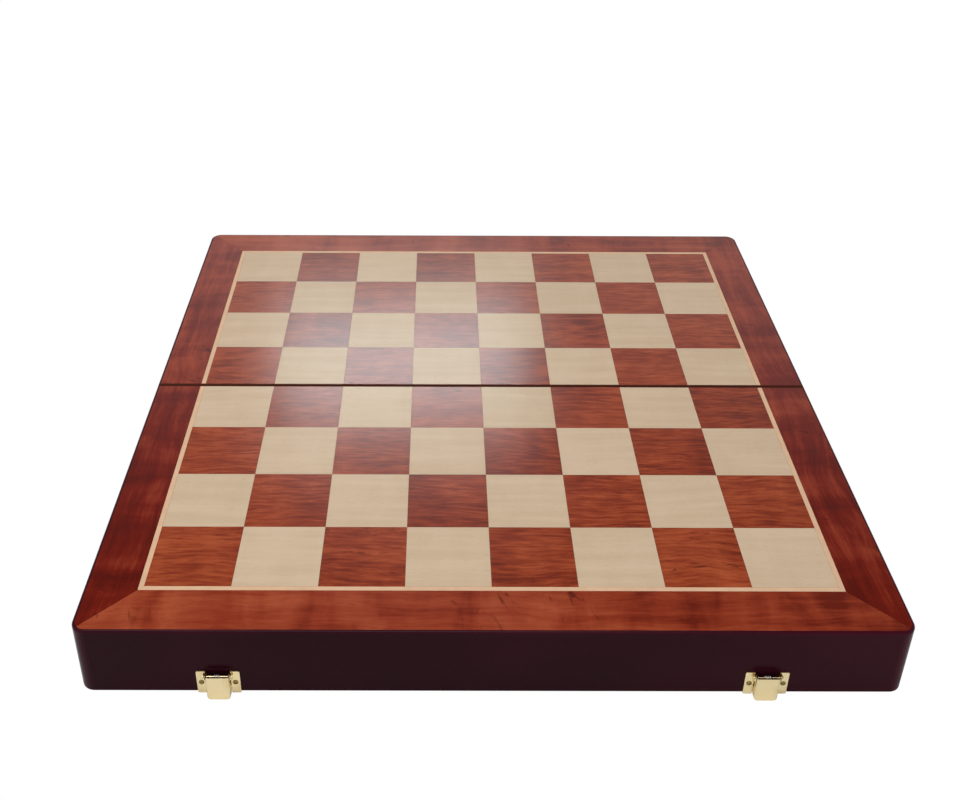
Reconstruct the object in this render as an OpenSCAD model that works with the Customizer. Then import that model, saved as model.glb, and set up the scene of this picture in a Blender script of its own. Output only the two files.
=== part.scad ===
// Folding chess box. Two hinged halves open flat into an inlaid board, with the
// storage pockets underneath, and fold down and together into a box that two
// spring catches hold shut.
// Frame in millimetres: X across the board, Y away from the catches, Z up. The
// origin lies under the middle of the fold, on the surface the open board stands on.

/* [Board] */
// Side of one square
square = 48; // [36:1:60]
// Width of the pale line round the squares
stringing_w = 3; // [2:0.5:6]
// Width of the veneered border outside the pale line
border_w = 28.4; // [18:0.2:40]
// Width of the lacquered band left round the veneer
edge_band = 1.6; // [1.6:0.1:6]
// Width of the lacquered edge left along the fold
fold_band = 1.3; // [0.8:0.1:3]
// Height of one half, from its rim to the playing face
half_h = 44.5; // [36:0.5:60]
// Gap between the halves when the board lies open
seam_gap = 0.6; // [0.4:0.1:1.2]

/* [Carcase] */
// Thickness of the side walls
wall_t = 12; // [10:0.5:16]
// Thickness of the panel under the playing face
panel_t = 6; // [4:0.5:10]
// Radius of the upright outer corners
corner_r = 8; // [6:0.5:12]
// Radius rounded over the outer top edges
edge_r = 1.5; // [0.75:0.25:1.5]
// Bevel of the top edges along the fold
fold_bevel = 0.5; // [0.2:0.1:0.7]
// Thickness of the squares and borders let into the panel
veneer_t = 1; // [0.6:0.1:2]
// Glue line between neighbouring veneers
joint_line = 0.1; // [0.05:0.01:0.3]

/* [Storage] */
// Thickness of the soft lining on the floor of each half
lining_t = 1.5; // [1:0.1:3]
// Thickness of the dividers
divider_t = 3; // [2:0.25:5]
// Distance that the dividers stay below the rim
divider_drop = 2; // [1:0.25:6]
// Length of the pockets for the tall pieces
long_pocket = 118; // [100:1:130]
// Pockets in each row
pocket_columns = 8; // [4:1:8]

/* [Hinges] */
// Length of each butt hinge
hinge_l = 50; // [40:1:80]
// Distance of each hinge's middle from the end of the board
hinge_inset = 95; // [75:1:165]
// Width of a leaf, from the pin's axis to its edge
leaf_w = 10; // [9:0.25:10.5]
// Thickness of a leaf
leaf_t = 1.2; // [1:0.1:1.6]
// Outer radius of the knuckles
barrel_r = 1.75; // [1.65:0.05:2.5]
// Radius of the hinge pin
hinge_pin_r = 0.8; // [0.6:0.05:0.95]
// Gap between the rims when the box is shut
rim_gap = 0.3; // [0.25:0.05:0.5]
// Gap between neighbouring knuckles
knuckle_gap = 0.5; // [0.4:0.05:0.8]

/* [Catches] */
// Distance of each catch's middle from the end of the board
catch_inset = 76.5; // [55:0.5:145]
// Width of the catch plate
plate_w = 23.6; // [22.5:0.1:28]
// Height of the catch plate's ears above the rim
plate_rise = 15.7; // [15.2:0.1:20]
// Length of the ears below the rim
ear_drop = 0.5; // [0.2:0.1:1]
// Thickness of the catch plate
plate_t = 1; // [0.8:0.05:1.2]
// Width of the lever
lever_w = 13; // [12:0.1:13.5]
// Height of the lever's top above the rim
lever_rise = 14.4; // [14.3:0.1:14.9]
// Distance of the lever's face from the wall
lever_out = 4.5; // [4.45:0.05:5.5]
// Sheet thickness of the lever
lever_t = 0.6; // [0.5:0.05:0.85]
// Height of the lever's pin above the rim
catch_pin_h = 13.4; // [13.2:0.05:13.6]
// Distance of the lever's pin from the wall
catch_pin_out = 2.4; // [2.35:0.05:2.45]
// Radius of the lever's pin
catch_pin_r = 0.5; // [0.4:0.05:0.55]
// Distance that the strike's lip stands out from the wall
lip_out = 2.2; // [2:0.05:2.3]
// Turns of the lever's spring
spring_turns = 2.75; // [1.75:1:2.75]

/* [Screws] */
// Radius of the hinge screws' shanks
hinge_screw_r = 1; // [0.8:0.05:1.1]
// Radius of the hinge screws' countersunk heads
hinge_head_r = 2; // [1.8:0.05:2.2]
// Length of the hinge screws
hinge_screw_l = 10; // [6:0.5:20]
// Radius of the catch screws' shanks
catch_screw_r = 0.9; // [0.7:0.05:1]
// Radius of the catch screws' round heads
catch_head_r = 1.5; // [1.3:0.05:1.6]
// Length of the catch screws under the head
catch_screw_l = 8; // [5:0.5:9]

/* [Hidden] */

$fn = 48;
ranks = 8;                       // squares along each side of the board
reach = 600;                     // longer than the board, for cutting shapes
fit = 0.05;                      // radial clearance round pins and screws
slip = 0.3;                      // clearance between pieces that pass each other
over = 1;                        // how far the cutting shapes pass what they cut

// The board's outlines, measured from its middle
field = ranks * square / 2;
string_out = field + stringing_w;
veneer_out = string_out + border_w;
half_w = veneer_out + edge_band;
veneer_corner_r = max(0.5, corner_r - edge_band);
seam_y = seam_gap / 2;
recess_y = seam_y + fold_band;   // where the veneers' recess stops
veneer_y = recess_y + joint_line / 2;

// Heights: the hinge barrels and the levers touch the ground
axis_z = barrel_r;
rim_z = axis_z + rim_gap / 2;
top_z = rim_z + half_h;
panel_z = top_z - panel_t;
inlay_z = top_z - veneer_t;
wall_h = panel_z - rim_z;

// The storage space of one half, between its walls
inner_x = half_w - wall_t;
inner_y0 = -half_w + wall_t;
inner_y1 = -seam_y - wall_t;
lining_z = panel_z - lining_t;
divider_z = rim_z + divider_drop;
divider_h = lining_z - divider_z;
long_divider_y = inner_y0 + long_pocket;
pocket_w = (2 * inner_x - (pocket_columns - 1) * divider_t) / pocket_columns;

// Hinges
hinge_x = half_w - hinge_inset;
knuckles = 5;
knuckle_l = hinge_l / knuckles;
groove_r = barrel_r + slip;
hinge_screws_per_leaf = 3;
hinge_screw_pitch = hinge_l / hinge_screws_per_leaf;
hinge_screw_y = (leaf_w + barrel_r) / 2;
hinge_head_h = min(hinge_head_r - hinge_screw_r, leaf_t - 0.1);
slot_w = 0.5;                    // screwdriver slots
slot_d = 0.4;
tip_l = 2;                       // the screws' points
tip_r = 0.2;

// Catches: u is the distance out from the wall, v the height above the rim
catch_x = half_w - catch_inset;
plate_corner_r = 0.8;
lever_in = lever_out - lever_t;
lever_bend_r = 1.3;
lever_end_r = 2.4;
flange_in = plate_t + slip;
lug_r = 1.5;
cheek_t = 0.8;
cheek_x = lever_w / 2 + slip;    // also half the width of the plate's window
cheek_rise = 1.7;                // the cheek's top above the pin
cheek_drop = [1, 4.1];           // its lower edge below the pin, outside and at the plate
cheek_bevel = 0.8;
bridge_v = [1.5, 5];             // the plate's bridge behind the lever
nose_t = 0.7;
nose_in = 1.2;
nose_bevel = [0.8, 0.45];
hook_slip = 0.2;                 // between the lever's nose and the strike's lip
lip_w = 8;
lip_t = rim_z - rim_gap - nose_t - hook_slip;
lip_bevel = 0.4;
strike_t = 0.9;
strike_neck = [12, 3];           // width and height beside the lip
strike_body = [22, 10];
strike_screw = [7.5, 8];         // from the middle, and above the rim
catch_screw = [cheek_x + cheek_t + catch_head_r + slip / 2, (plate_rise - ear_drop) / 2];
catch_head_h = 0.9;
rivet_r = 1;
rivet_h = 0.4;
spring_steps = 8;                // rings in each turn
spring_sides = 6;
spring_wire_r = 0.3;
spring_slip = 0.03;              // round the pin, and in front of the plate
spring_r = (catch_pin_r + spring_wire_r + spring_slip) / cos(180 / spring_steps);
spring_pitch = 2 * spring_wire_r + 0.5;
spring_leg = [4.5, 10];          // heights of the straight leg's ends

lacquer = "#34161d";
rosewood = "#8f3a20";
maple = "#d8c09a";
peach = "#e6b79a";
felt = "#5c1422";
felt_dark = "#4a101b";
brass = "#d9bd7c";
steel = "#c9c6be";

// ---- Outlines ----

// The whole board's outline, drawn in by d, with corners of radius r
module board_outline(d, r) {
    w = half_w - d;
    square([2 * w, 2 * (w - r)], center = true);
    square([2 * (w - r), 2 * w], center = true);
    for (x = [-1, 1], y = [-1, 1]) translate([x * (w - r), y * (w - r)]) circle(r);
}

// A rectangle centred on x with rounded corners, from y = 0 upwards
module rounded_plate(w, h, r) {
    translate([-w / 2, r]) square([w, h - 2 * r]);
    translate([-w / 2 + r, 0]) square([w - 2 * r, h]);
    for (x = [-1, 1], y = [r, h - r]) translate([x * (w / 2 - r), y]) circle(r);
}

// The part of the near half that belongs to the front, left (-1) or right (1)
// side, split along the mitres; k keeps it back from each mitre line
module front_wedge(k) polygon([[0, -k], [reach, -reach - k], [-reach, -reach - k]]);
module side_wedge(side, k)
    polygon([[side * (k + veneer_y), -veneer_y], [side * (reach + k), -veneer_y],
             [side * (reach + k), -reach]]);

// What lies at least y from the middle of the fold
module beside_fold(y) translate([-reach, -y - reach]) square([2 * reach, reach]);

// Sections drawn as (u, v) and pushed along X, centred
module along_x(w) rotate([90, 0, -90]) linear_extrude(w, center = true) children();

// Outlines drawn as (x, v) and pushed out from the wall
module out_from_wall(t) rotate([90, 0, 0]) linear_extrude(t) children();

// ---- Carcase, drawn as the near half ----

module wall_blank(points) {
    translate([0, 0, rim_z]) linear_extrude(wall_h) intersection() {
        board_outline(0, corner_r);
        polygon(points);
    }
}

module outer_wall() {
    wall_blank([[-half_w, -half_w], [half_w, -half_w], [inner_x, inner_y0], [-inner_x, inner_y0]]);
}

module side_wall(side) {
    wall_blank([[side * half_w, -half_w], [side * inner_x, inner_y0],
                [side * inner_x, inner_y1], [side * half_w, -seam_y]]);
}

// The wall along the fold, let in for the hinge leaves and their barrels
module seam_wall() {
    difference() {
        wall_blank([[-half_w, -seam_y], [half_w, -seam_y], [inner_x, inner_y1], [-inner_x, inner_y1]]);
        for (x = [-hinge_x, hinge_x]) translate([x, 0, 0]) {
            translate([-hinge_l / 2 - fit, -leaf_w - fit, rim_z - over])
                cube([hinge_l + 2 * fit, leaf_w, leaf_t + over]);
            translate([0, 0, axis_z]) rotate([0, 90, 0])
                cylinder(h = hinge_l + 2 * slip, r = groove_r, center = true);
            hinge_screw_places() cylinder(h = hinge_screw_l + fit, r = hinge_screw_r + fit);
        }
    }
}

// The block under the playing face: upright corners and rounded top edges
module rounded_block() {
    core = half_w - corner_r;
    translate([0, 0, panel_z]) linear_extrude(panel_t - edge_r) board_outline(0, corner_r);
    translate([0, 0, top_z - edge_r]) linear_extrude(edge_r) board_outline(edge_r, corner_r - edge_r);
    for (turn = [0:90:270]) rotate([0, 0, turn]) {
        translate([0, -half_w + edge_r, top_z - edge_r]) rotate([0, 90, 0]) intersection() {
            cylinder(h = 2 * core, r = edge_r, center = true);
            translate([-edge_r, -edge_r, -core]) cube([edge_r, edge_r, 2 * core]);
        }
        translate([core, -core, top_z - edge_r]) intersection() {
            rotate_extrude() translate([corner_r - edge_r, 0]) intersection() {
                circle(edge_r);
                square(edge_r);
            }
            translate([0, -corner_r, 0]) cube([corner_r, corner_r, edge_r]);
        }
    }
}

// What the bevel takes off the top edge along the fold
module fold_easing() {
    translate([0, -seam_y, top_z]) rotate([90, 0, 90]) linear_extrude(2 * reach, center = true)
        polygon([[-fold_bevel - over, over], [over, -fold_bevel - over], [over, over]]);
}

module top_panel() {
    difference() {
        intersection() {
            rounded_block();
            linear_extrude(reach) beside_fold(seam_y);
        }
        fold_easing();
        translate([0, 0, inlay_z]) linear_extrude(veneer_t + over) intersection() {
            board_outline(edge_band, veneer_corner_r);
            beside_fold(recess_y);
        }
    }
}

// ---- Inlay ----

module inlay() translate([0, 0, inlay_z]) linear_extrude(veneer_t) children();

module border_ring() {
    difference() {
        board_outline(edge_band + joint_line / 2, veneer_corner_r - joint_line / 2);
        square(2 * string_out + joint_line, center = true);
    }
}

module stringing_ring() {
    difference() {
        square(2 * string_out - joint_line, center = true);
        square(2 * field + joint_line, center = true);
    }
}

module border_outer() inlay() intersection() { border_ring(); front_wedge(joint_line / sqrt(2)); }

module border_side(side) {
    inlay() intersection() { border_ring(); side_wedge(side, joint_line / sqrt(2)); }
}

module stringing() {
    inlay() intersection() { stringing_ring(); front_wedge(joint_line / sqrt(2)); }
    for (side = [-1, 1])
        inlay() intersection() { stringing_ring(); side_wedge(side, joint_line / sqrt(2)); }
}

// The squares of one tone in four ranks; the near left corner square is dark.
// Those beside the fold stop at it.
module squares(first_rank, dark) {
    inlay() intersection() {
        for (i = [0 : ranks - 1], j = [first_rank : first_rank + ranks / 2 - 1])
            if (((i + j) % 2 == 0) == dark)
                translate([-field + i * square + joint_line / 2, -field + j * square + joint_line / 2])
                    square(square - joint_line);
        for (half = [0, 1]) mirror([0, half]) beside_fold(veneer_y);
    }
}

// ---- Storage ----

module lining() {
    translate([-inner_x, inner_y0, lining_z]) cube([2 * inner_x, inner_y1 - inner_y0, lining_t]);
}

module long_divider() {
    translate([-inner_x, long_divider_y, divider_z]) cube([2 * inner_x, divider_t, divider_h]);
}

// Between the pockets of each row
module cross_dividers() {
    rows = [[inner_y0, long_divider_y], [long_divider_y + divider_t, inner_y1]];
    for (row = rows, i = [1 : pocket_columns - 1])
        translate([-inner_x + i * (pocket_w + divider_t) - divider_t, row[0], divider_z])
            cube([divider_t, row[1] - row[0], divider_h]);
}

// ---- Hinges, drawn with the near leaf ----

// Knuckles numbered from the left; the near leaf has the even ones
module knuckle_run(parity, gap, r) {
    for (i = [parity : 2 : knuckles - 1])
        translate([-hinge_l / 2 + (i + 0.5) * knuckle_l, 0, axis_z]) rotate([0, 90, 0])
            cylinder(h = knuckle_l - gap, r = r, center = true);
}

module hinge_screw_places() {
    for (i = [0 : hinge_screws_per_leaf - 1])
        translate([(i - 1) * hinge_screw_pitch, -hinge_screw_y, rim_z]) children();
}

module hinge_leaf(parity) {
    difference() {
        union() {
            translate([-hinge_l / 2, -leaf_w, rim_z]) cube([hinge_l, leaf_w, leaf_t]);
            knuckle_run(parity, knuckle_gap, barrel_r);
        }
        knuckle_run(1 - parity, 0, groove_r);
        translate([0, 0, axis_z]) rotate([0, 90, 0])
            cylinder(h = hinge_l + 2 * over, r = hinge_pin_r + fit, center = true);
        hinge_screw_places() {
            translate([0, 0, -fit]) cylinder(h = hinge_head_h + fit, r1 = hinge_head_r + 2 * fit,
                                             r2 = hinge_screw_r + fit);
            cylinder(h = leaf_t + over, r = hinge_screw_r + fit);
        }
    }
}

module hinge_pin() {
    translate([0, 0, axis_z]) rotate([0, 90, 0])
        cylinder(h = hinge_l - knuckle_gap, r = hinge_pin_r, center = true);
}

module hinge_screws() {
    for (x = [-hinge_x, hinge_x]) translate([x, 0, 0]) hinge_screw_places() difference() {
        union() {
            cylinder(h = hinge_head_h, r1 = hinge_head_r, r2 = hinge_screw_r);
            cylinder(h = hinge_screw_l - tip_l, r = hinge_screw_r);
            translate([0, 0, hinge_screw_l - tip_l]) cylinder(h = tip_l, r1 = hinge_screw_r, r2 = tip_r);
        }
        translate([-hinge_head_r, -slot_w / 2, -over]) cube([2 * hinge_head_r, slot_w, slot_d + over]);
    }
}

// ---- Catches, drawn on the near wall at x = 0 ----

module on_near_wall(x) translate([x, -half_w, rim_z]) children();

module catch_pin_bore(r, w) {
    translate([0, -catch_pin_out, catch_pin_h]) rotate([0, 90, 0]) cylinder(h = w, r = r, center = true);
}

// The plate: two eared sides joined by a bridge behind the lever, with a cheek
// folded out beside the lever to carry its pin
module catch_plate() {
    difference() {
        union() {
            out_from_wall(plate_t) difference() {
                translate([0, -ear_drop]) rounded_plate(plate_w, plate_rise + ear_drop, plate_corner_r);
                translate([-cheek_x, bridge_v[1]]) square([2 * cheek_x, plate_rise]);
                translate([-cheek_x, -ear_drop - over]) square([2 * cheek_x, ear_drop + over + bridge_v[0]]);
            }
            for (side = [-1, 1]) translate([side * (cheek_x + cheek_t / 2), 0, 0]) along_x(cheek_t)
                cheek_outline();
        }
        catch_pin_bore(catch_pin_r + fit, plate_w);
        catch_screw_places() rotate([90, 0, 0])
            translate([0, 0, -over]) cylinder(h = plate_t + 2 * over, r = catch_screw_r + fit);
    }
}

module cheek_outline() {
    top = catch_pin_h + cheek_rise;
    polygon([[0, top], [lever_in - cheek_bevel, top], [lever_in, top - cheek_bevel],
             [lever_in, catch_pin_h - cheek_drop[0]], [plate_t, catch_pin_h - cheek_drop[1]],
             [0, catch_pin_h - cheek_drop[1]]]);
}

// The lever's section seen from above: a channel open towards the wall
module lever_plan() {
    module channel(w, out, r) {
        translate([-w / 2, -out + r]) square([w, out - r]);
        translate([-w / 2 + r, -out]) square([w - 2 * r, r]);
        for (x = [-1, 1]) translate([x * (w / 2 - r), -out + r]) circle(r);
    }
    difference() {
        channel(lever_w, lever_out, lever_bend_r);
        translate([0, over]) channel(lever_w - 2 * lever_t, lever_in + over, lever_bend_r - lever_t);
    }
}

// The lever's side: a lug round the pin, then straight down to the nose
module lever_side() {
    translate([catch_pin_out, catch_pin_h]) circle(lug_r);
    translate([catch_pin_out, -rim_z]) square([lever_out - catch_pin_out, rim_z + lever_rise]);
    translate([flange_in, -rim_z]) square([catch_pin_out - flange_in, rim_z + catch_pin_h]);
}

// The lever's face: square at the top, rounded at the bottom
module lever_face() {
    translate([0, -rim_z]) rounded_plate(lever_w, rim_z + lever_rise, lever_end_r);
    translate([-lever_w / 2, lever_rise / 2]) square([lever_w, lever_rise / 2]);
}

// The hook folded in at the lever's foot
module nose_outline() {
    root = lever_out - lever_t / 2;
    translate([0, -rim_z]) polygon([[root, 0], [nose_in + nose_bevel[0], 0], [nose_in, nose_bevel[1]],
                                    [nose_in, nose_t], [root, nose_t]]);
}

module catch_lever() {
    difference() {
        intersection() {
            union() {
                intersection() {
                    translate([0, 0, -rim_z]) linear_extrude(rim_z + lever_rise) lever_plan();
                    along_x(lever_w + 2 * over) lever_side();
                }
                along_x(lever_w - lever_t) nose_outline();
            }
            out_from_wall(lever_out + over) lever_face();
        }
        catch_pin_bore(catch_pin_r + fit, lever_w + 2 * over);
    }
}

// Riveted over outside both cheeks
module catch_pin() {
    outer = cheek_x + cheek_t + fit;
    catch_pin_bore(catch_pin_r, 2 * outer + 0.1);
    for (side = [-1, 1]) translate([side * (outer + rivet_h / 2), 0, 0]) catch_pin_bore(rivet_r, rivet_h);
}

module catch_screw_places() {
    for (side = [-1, 1]) translate([side * catch_screw[0], 0, catch_screw[1]]) children();
}

// A round-headed screw seated on a plate of thickness t, pointing into the wall
module round_screw(t) {
    ball_r = (catch_head_r * catch_head_r + catch_head_h * catch_head_h) / (2 * catch_head_h);
    translate([0, -t, 0]) rotate([90, 0, 0]) difference() {
        union() {
            intersection() {
                translate([0, 0, catch_head_h - ball_r]) sphere(ball_r);
                cylinder(h = catch_head_h, r = catch_head_r);
            }
            translate([0, 0, -catch_screw_l + tip_l]) cylinder(h = catch_screw_l - tip_l, r = catch_screw_r);
            translate([0, 0, -catch_screw_l]) cylinder(h = tip_l, r1 = tip_r, r2 = catch_screw_r);
        }
        translate([-catch_head_r, -slot_w / 2, catch_head_h - slot_d])
            cube([2 * catch_head_r, slot_w, slot_d + over]);
    }
}

// ---- The lever's spring: one wire, wound on the pin, with a leg on the plate ----

coil_rings = spring_turns * spring_steps;
coil_w = spring_turns * spring_pitch;

function coil_point(i) = let (a = 180 + 360 * i / spring_steps)
    [-coil_w / 2 + i * spring_pitch / spring_steps, catch_pin_out + spring_r * cos(a),
     catch_pin_h - spring_r * sin(a)];
leg_points = [for (v = spring_leg) [-coil_w / 2, plate_t + spring_wire_r + spring_slip, v]];
spring_path = concat(leg_points, [for (i = [0 : coil_rings]) coil_point(i)]);

// Points at least half a turn apart along the wire
spring_gap = min([for (i = [0 : len(spring_path) - 1], j = [0 : len(spring_path) - 1])
    if (j - i >= spring_steps / 2 + 1) norm(spring_path[i] - spring_path[j])]) - 2 * spring_wire_r;
echo("least gap between the spring's turns", spring_gap);

function unit(v) = v / norm(v);
function heading(path, i) = unit(path[min(i + 1, len(path) - 1)] - path[max(i - 1, 0)]);
// A ring round the path; the X axis, squared to the heading, gives it a steady start
function ring(path, i) = let (t = heading(path, i), a = unit(cross(t, cross([1, 0, 0], t))),
                              b = cross(t, a))
    [for (k = [0 : spring_sides - 1]) path[i] + spring_wire_r
        * (a * cos(360 * k / spring_sides) + b * sin(360 * k / spring_sides))];

module wire(path) {
    n = len(path);
    s = spring_sides;
    points = [for (i = [0 : n - 1], p = ring(path, i)) [p[0], -p[1], p[2]]];
    skin = [for (i = [0 : n - 2], k = [0 : s - 1], half = [0, 1])
        let (p = i * s + k, q = i * s + (k + 1) % s)
        half == 0 ? [p, q, q + s] : [p, q + s, p + s]];
    fans = [for (k = [1 : s - 2], end = [0, 1])
        end == 0 ? [0, k + 1, k] : [(n - 1) * s, (n - 1) * s + k, (n - 1) * s + k + 1]];
    polyhedron(points, concat(skin, fans));
}

// ---- Strikes, drawn on the near wall and mirrored to the far one ----

module strike() {
    difference() {
        union() {
            out_from_wall(strike_t) {
                translate([-strike_neck[0] / 2, 0]) square([strike_neck[0], strike_neck[1] + plate_corner_r]);
                translate([0, strike_neck[1]]) rounded_plate(strike_body[0], strike_body[1], plate_corner_r);
            }
            along_x(lip_w) polygon([[0, 0], [lip_out - lip_bevel, 0], [lip_out, lip_bevel],
                                    [lip_out, lip_t], [0, lip_t]]);
        }
        strike_screw_places() rotate([90, 0, 0])
            translate([0, 0, -over]) cylinder(h = strike_t + 2 * over, r = catch_screw_r + fit);
    }
}

module strike_screw_places() {
    for (side = [-1, 1]) translate([side * strike_screw[0], 0, strike_screw[1]]) children();
}

// Pilot hole into a wall
module pilot(t) translate([0, -over, 0]) rotate([-90, 0, 0])
    cylinder(h = catch_screw_l - t + over + fit, r = catch_screw_r + fit);

// ---- The pieces of each half ----

module near_front_wall() color(lacquer) difference() {
    outer_wall();
    for (x = [-catch_x, catch_x]) on_near_wall(x) catch_screw_places() pilot(plate_t);
}

module far_back_wall() color(lacquer) mirror([0, 1, 0]) difference() {
    outer_wall();
    for (x = [-catch_x, catch_x]) on_near_wall(x) strike_screw_places() pilot(strike_t);
}

module far() mirror([0, 1, 0]) children();

module at_hinge(side) translate([side * hinge_x, 0, 0]) children();

near_front_wall();
color(lacquer) side_wall(-1);  // near_left_wall
color(lacquer) side_wall(1);  // near_right_wall
color(lacquer) seam_wall();  // near_seam_wall
color(lacquer) top_panel();  // near_top_panel
color(rosewood) border_outer();  // near_border_front
color(rosewood) border_side(-1);  // near_border_left
color(rosewood) border_side(1);  // near_border_right
color(peach) stringing();  // near_stringing
color(rosewood) squares(0, true);  // near_dark_squares
color(maple) squares(0, false);  // near_light_squares
color(felt) lining();  // near_lining
color(felt_dark) long_divider();  // near_long_divider
color(felt_dark) cross_dividers();  // near_cross_dividers
far_back_wall();
color(lacquer) far() side_wall(-1);  // far_left_wall
color(lacquer) far() side_wall(1);  // far_right_wall
color(lacquer) far() seam_wall();  // far_seam_wall
color(lacquer) far() top_panel();  // far_top_panel
color(rosewood) far() border_outer();  // far_border_back
color(rosewood) far() border_side(-1);  // far_border_left
color(rosewood) far() border_side(1);  // far_border_right
color(peach) far() stringing();  // far_stringing
color(rosewood) squares(ranks / 2, true);  // far_dark_squares
color(maple) squares(ranks / 2, false);  // far_light_squares
color(felt) far() lining();  // far_lining
color(felt_dark) far() long_divider();  // far_long_divider
color(felt_dark) far() cross_dividers();  // far_cross_dividers
color(brass) at_hinge(-1) hinge_leaf(0);  // hinge_left_near_leaf
color(brass) at_hinge(-1) far() hinge_leaf(1);  // hinge_left_far_leaf
color(steel) at_hinge(-1) hinge_pin();  // hinge_left_pin
color(brass) at_hinge(1) hinge_leaf(0);  // hinge_right_near_leaf
color(brass) at_hinge(1) far() hinge_leaf(1);  // hinge_right_far_leaf
color(steel) at_hinge(1) hinge_pin();  // hinge_right_pin
color(brass) hinge_screws();  // hinge_screws_near
color(brass) far() hinge_screws();  // hinge_screws_far
color(brass) on_near_wall(-catch_x) catch_plate();  // catch_left_plate
color(brass) on_near_wall(-catch_x) catch_lever();  // catch_left_lever
color(steel) on_near_wall(-catch_x) catch_pin();  // catch_left_pin
color(steel) on_near_wall(-catch_x) wire(spring_path);  // catch_left_spring
color(brass) on_near_wall(catch_x) catch_plate();  // catch_right_plate
color(brass) on_near_wall(catch_x) catch_lever();  // catch_right_lever
color(steel) on_near_wall(catch_x) catch_pin();  // catch_right_pin
color(steel) on_near_wall(catch_x) wire(spring_path);  // catch_right_spring
color(brass)  // catch_screws
    for (x = [-catch_x, catch_x]) on_near_wall(x) catch_screw_places() round_screw(plate_t);
color(brass) far() on_near_wall(-catch_x) strike();  // strike_left
color(brass) far() on_near_wall(catch_x) strike();  // strike_right
color(brass)  // strike_screws
    for (x = [-catch_x, catch_x]) far() on_near_wall(x) strike_screw_places() round_screw(strike_t);
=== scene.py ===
import math

import bpy
from bpy.props import FloatProperty, FloatVectorProperty, IntProperty, PointerProperty
from mathutils import Euler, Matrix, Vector


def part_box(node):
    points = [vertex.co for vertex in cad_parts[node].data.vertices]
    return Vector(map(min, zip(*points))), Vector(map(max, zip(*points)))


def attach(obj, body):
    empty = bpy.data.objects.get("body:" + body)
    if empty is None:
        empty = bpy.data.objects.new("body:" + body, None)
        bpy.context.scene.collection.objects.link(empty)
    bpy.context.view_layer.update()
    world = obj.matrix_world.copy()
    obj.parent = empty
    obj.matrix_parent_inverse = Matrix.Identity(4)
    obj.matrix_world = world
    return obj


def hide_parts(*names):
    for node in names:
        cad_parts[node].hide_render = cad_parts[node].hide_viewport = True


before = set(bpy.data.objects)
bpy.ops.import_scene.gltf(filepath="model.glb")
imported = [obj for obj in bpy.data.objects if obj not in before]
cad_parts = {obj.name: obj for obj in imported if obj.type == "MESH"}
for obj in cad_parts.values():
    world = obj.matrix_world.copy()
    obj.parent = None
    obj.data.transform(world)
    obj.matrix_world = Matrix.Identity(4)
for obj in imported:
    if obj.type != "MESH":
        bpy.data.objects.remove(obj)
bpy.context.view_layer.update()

bl_info = {
    "name": "Folding Chess Box",
    "version": (1, 0, 0),
    "blender": (4, 5, 0),
    "location": "3D View > Sidebar > Chess Box",
    "description": "Finishes, screws, springs and felt inserts of a folding chess box",
    "category": "Object",
}

MM = 0.001
PICTURE = (977, 800)  # width and height that the camera is computed for, in pixels
SQUARES = 8  # in a row
HINGE_SCREWS, CATCH_SCREWS, CROSS_DIVIDERS = 6, 4, 7  # in one half, counted along X
SOLID_GAP = 5 * MM  # the least gap between the screws or dividers of one half
VENEER_COAT_ROUGHNESS = 0.20
SEED_DATA = ("out", "span", "turned")  # what the seed points carry


# ---- Sizes and colours that a user would change ----


def colour(name, description, default):
    return FloatVectorProperty(name=name, description=description, default=default, size=3,
                               subtype="COLOR", min=0, max=1)


def number(name, description, default, **limits):
    return FloatProperty(name=name, description=description, default=default, **limits)


def length(name, description, default):
    return number(name, description, default, min=0,
                  subtype="DISTANCE", unit="LENGTH", precision=5)


def share(name, description, default):
    return number(name, description, default, min=0, max=1, subtype="FACTOR")


class VeneerProps(bpy.types.PropertyGroup):
    """The playing face"""

    square_dark: colour("Square, dark streaks", "Darkest tone of the rosewood squares",
                        (0.120, 0.015, 0.006))
    square_mid: colour("Square, ground", "Main tone of the rosewood squares",
                       (0.208, 0.029, 0.009))
    square_light: colour("Square, pale figure", "Palest tone of the rosewood squares",
                         (0.340, 0.067, 0.022))
    across_dark: colour("Front border, dark", "Darkest tone of the front and back borders",
                        (0.115, 0.010, 0.003))
    across_mid: colour("Front border, ground", "Main tone of the front and back borders",
                       (0.215, 0.027, 0.009))
    across_light: colour("Front border, pale", "Palest tone of the front and back borders",
                         (0.320, 0.062, 0.024))
    along_dark: colour("Side border, dark", "Darkest tone of the side borders",
                       (0.084, 0.0035, 0.0005))
    along_mid: colour("Side border, ground", "Main tone of the side borders",
                      (0.132, 0.007, 0.0015))
    along_light: colour("Side border, pale", "Palest tone of the side borders",
                        (0.260, 0.036, 0.013))
    maple: colour("Maple", "Main tone of the pale squares", (0.540, 0.407, 0.284))
    maple_streak: colour("Maple, grain", "Tone of the grain in the pale squares",
                         (0.496, 0.367, 0.248))
    stringing: colour("Stringing", "Pale line round the squares", (0.600, 0.385, 0.245))
    coat: share("Clear coat", "How strongly the coat over the rosewood mirrors", 0.62)
    pale_coat: share("Coat, pale woods", "How strongly the coat over the pale woods mirrors", 0.26)


class LacquerProps(bpy.types.PropertyGroup):
    """The walls and the rounded edge"""

    body: colour("Lacquer", "Tone of the dark red lacquer", (0.0180, 0.0020, 0.0052))
    # Tone of the lighter lacquer: thin lacquer in the clouds and along the bottom edge, and also
    # the painted sheen, the painted edge highlight and the painted light towards +X.
    thin_and_sheen_tone: colour("Lacquer, thin", "Tone where the lacquer lies thin", (0.044, 0.0042, 0.0110))
    bare: colour("Fold edge", "Tone of the rubbed edges along the fold", (0.060, 0.014, 0.007))


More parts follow.
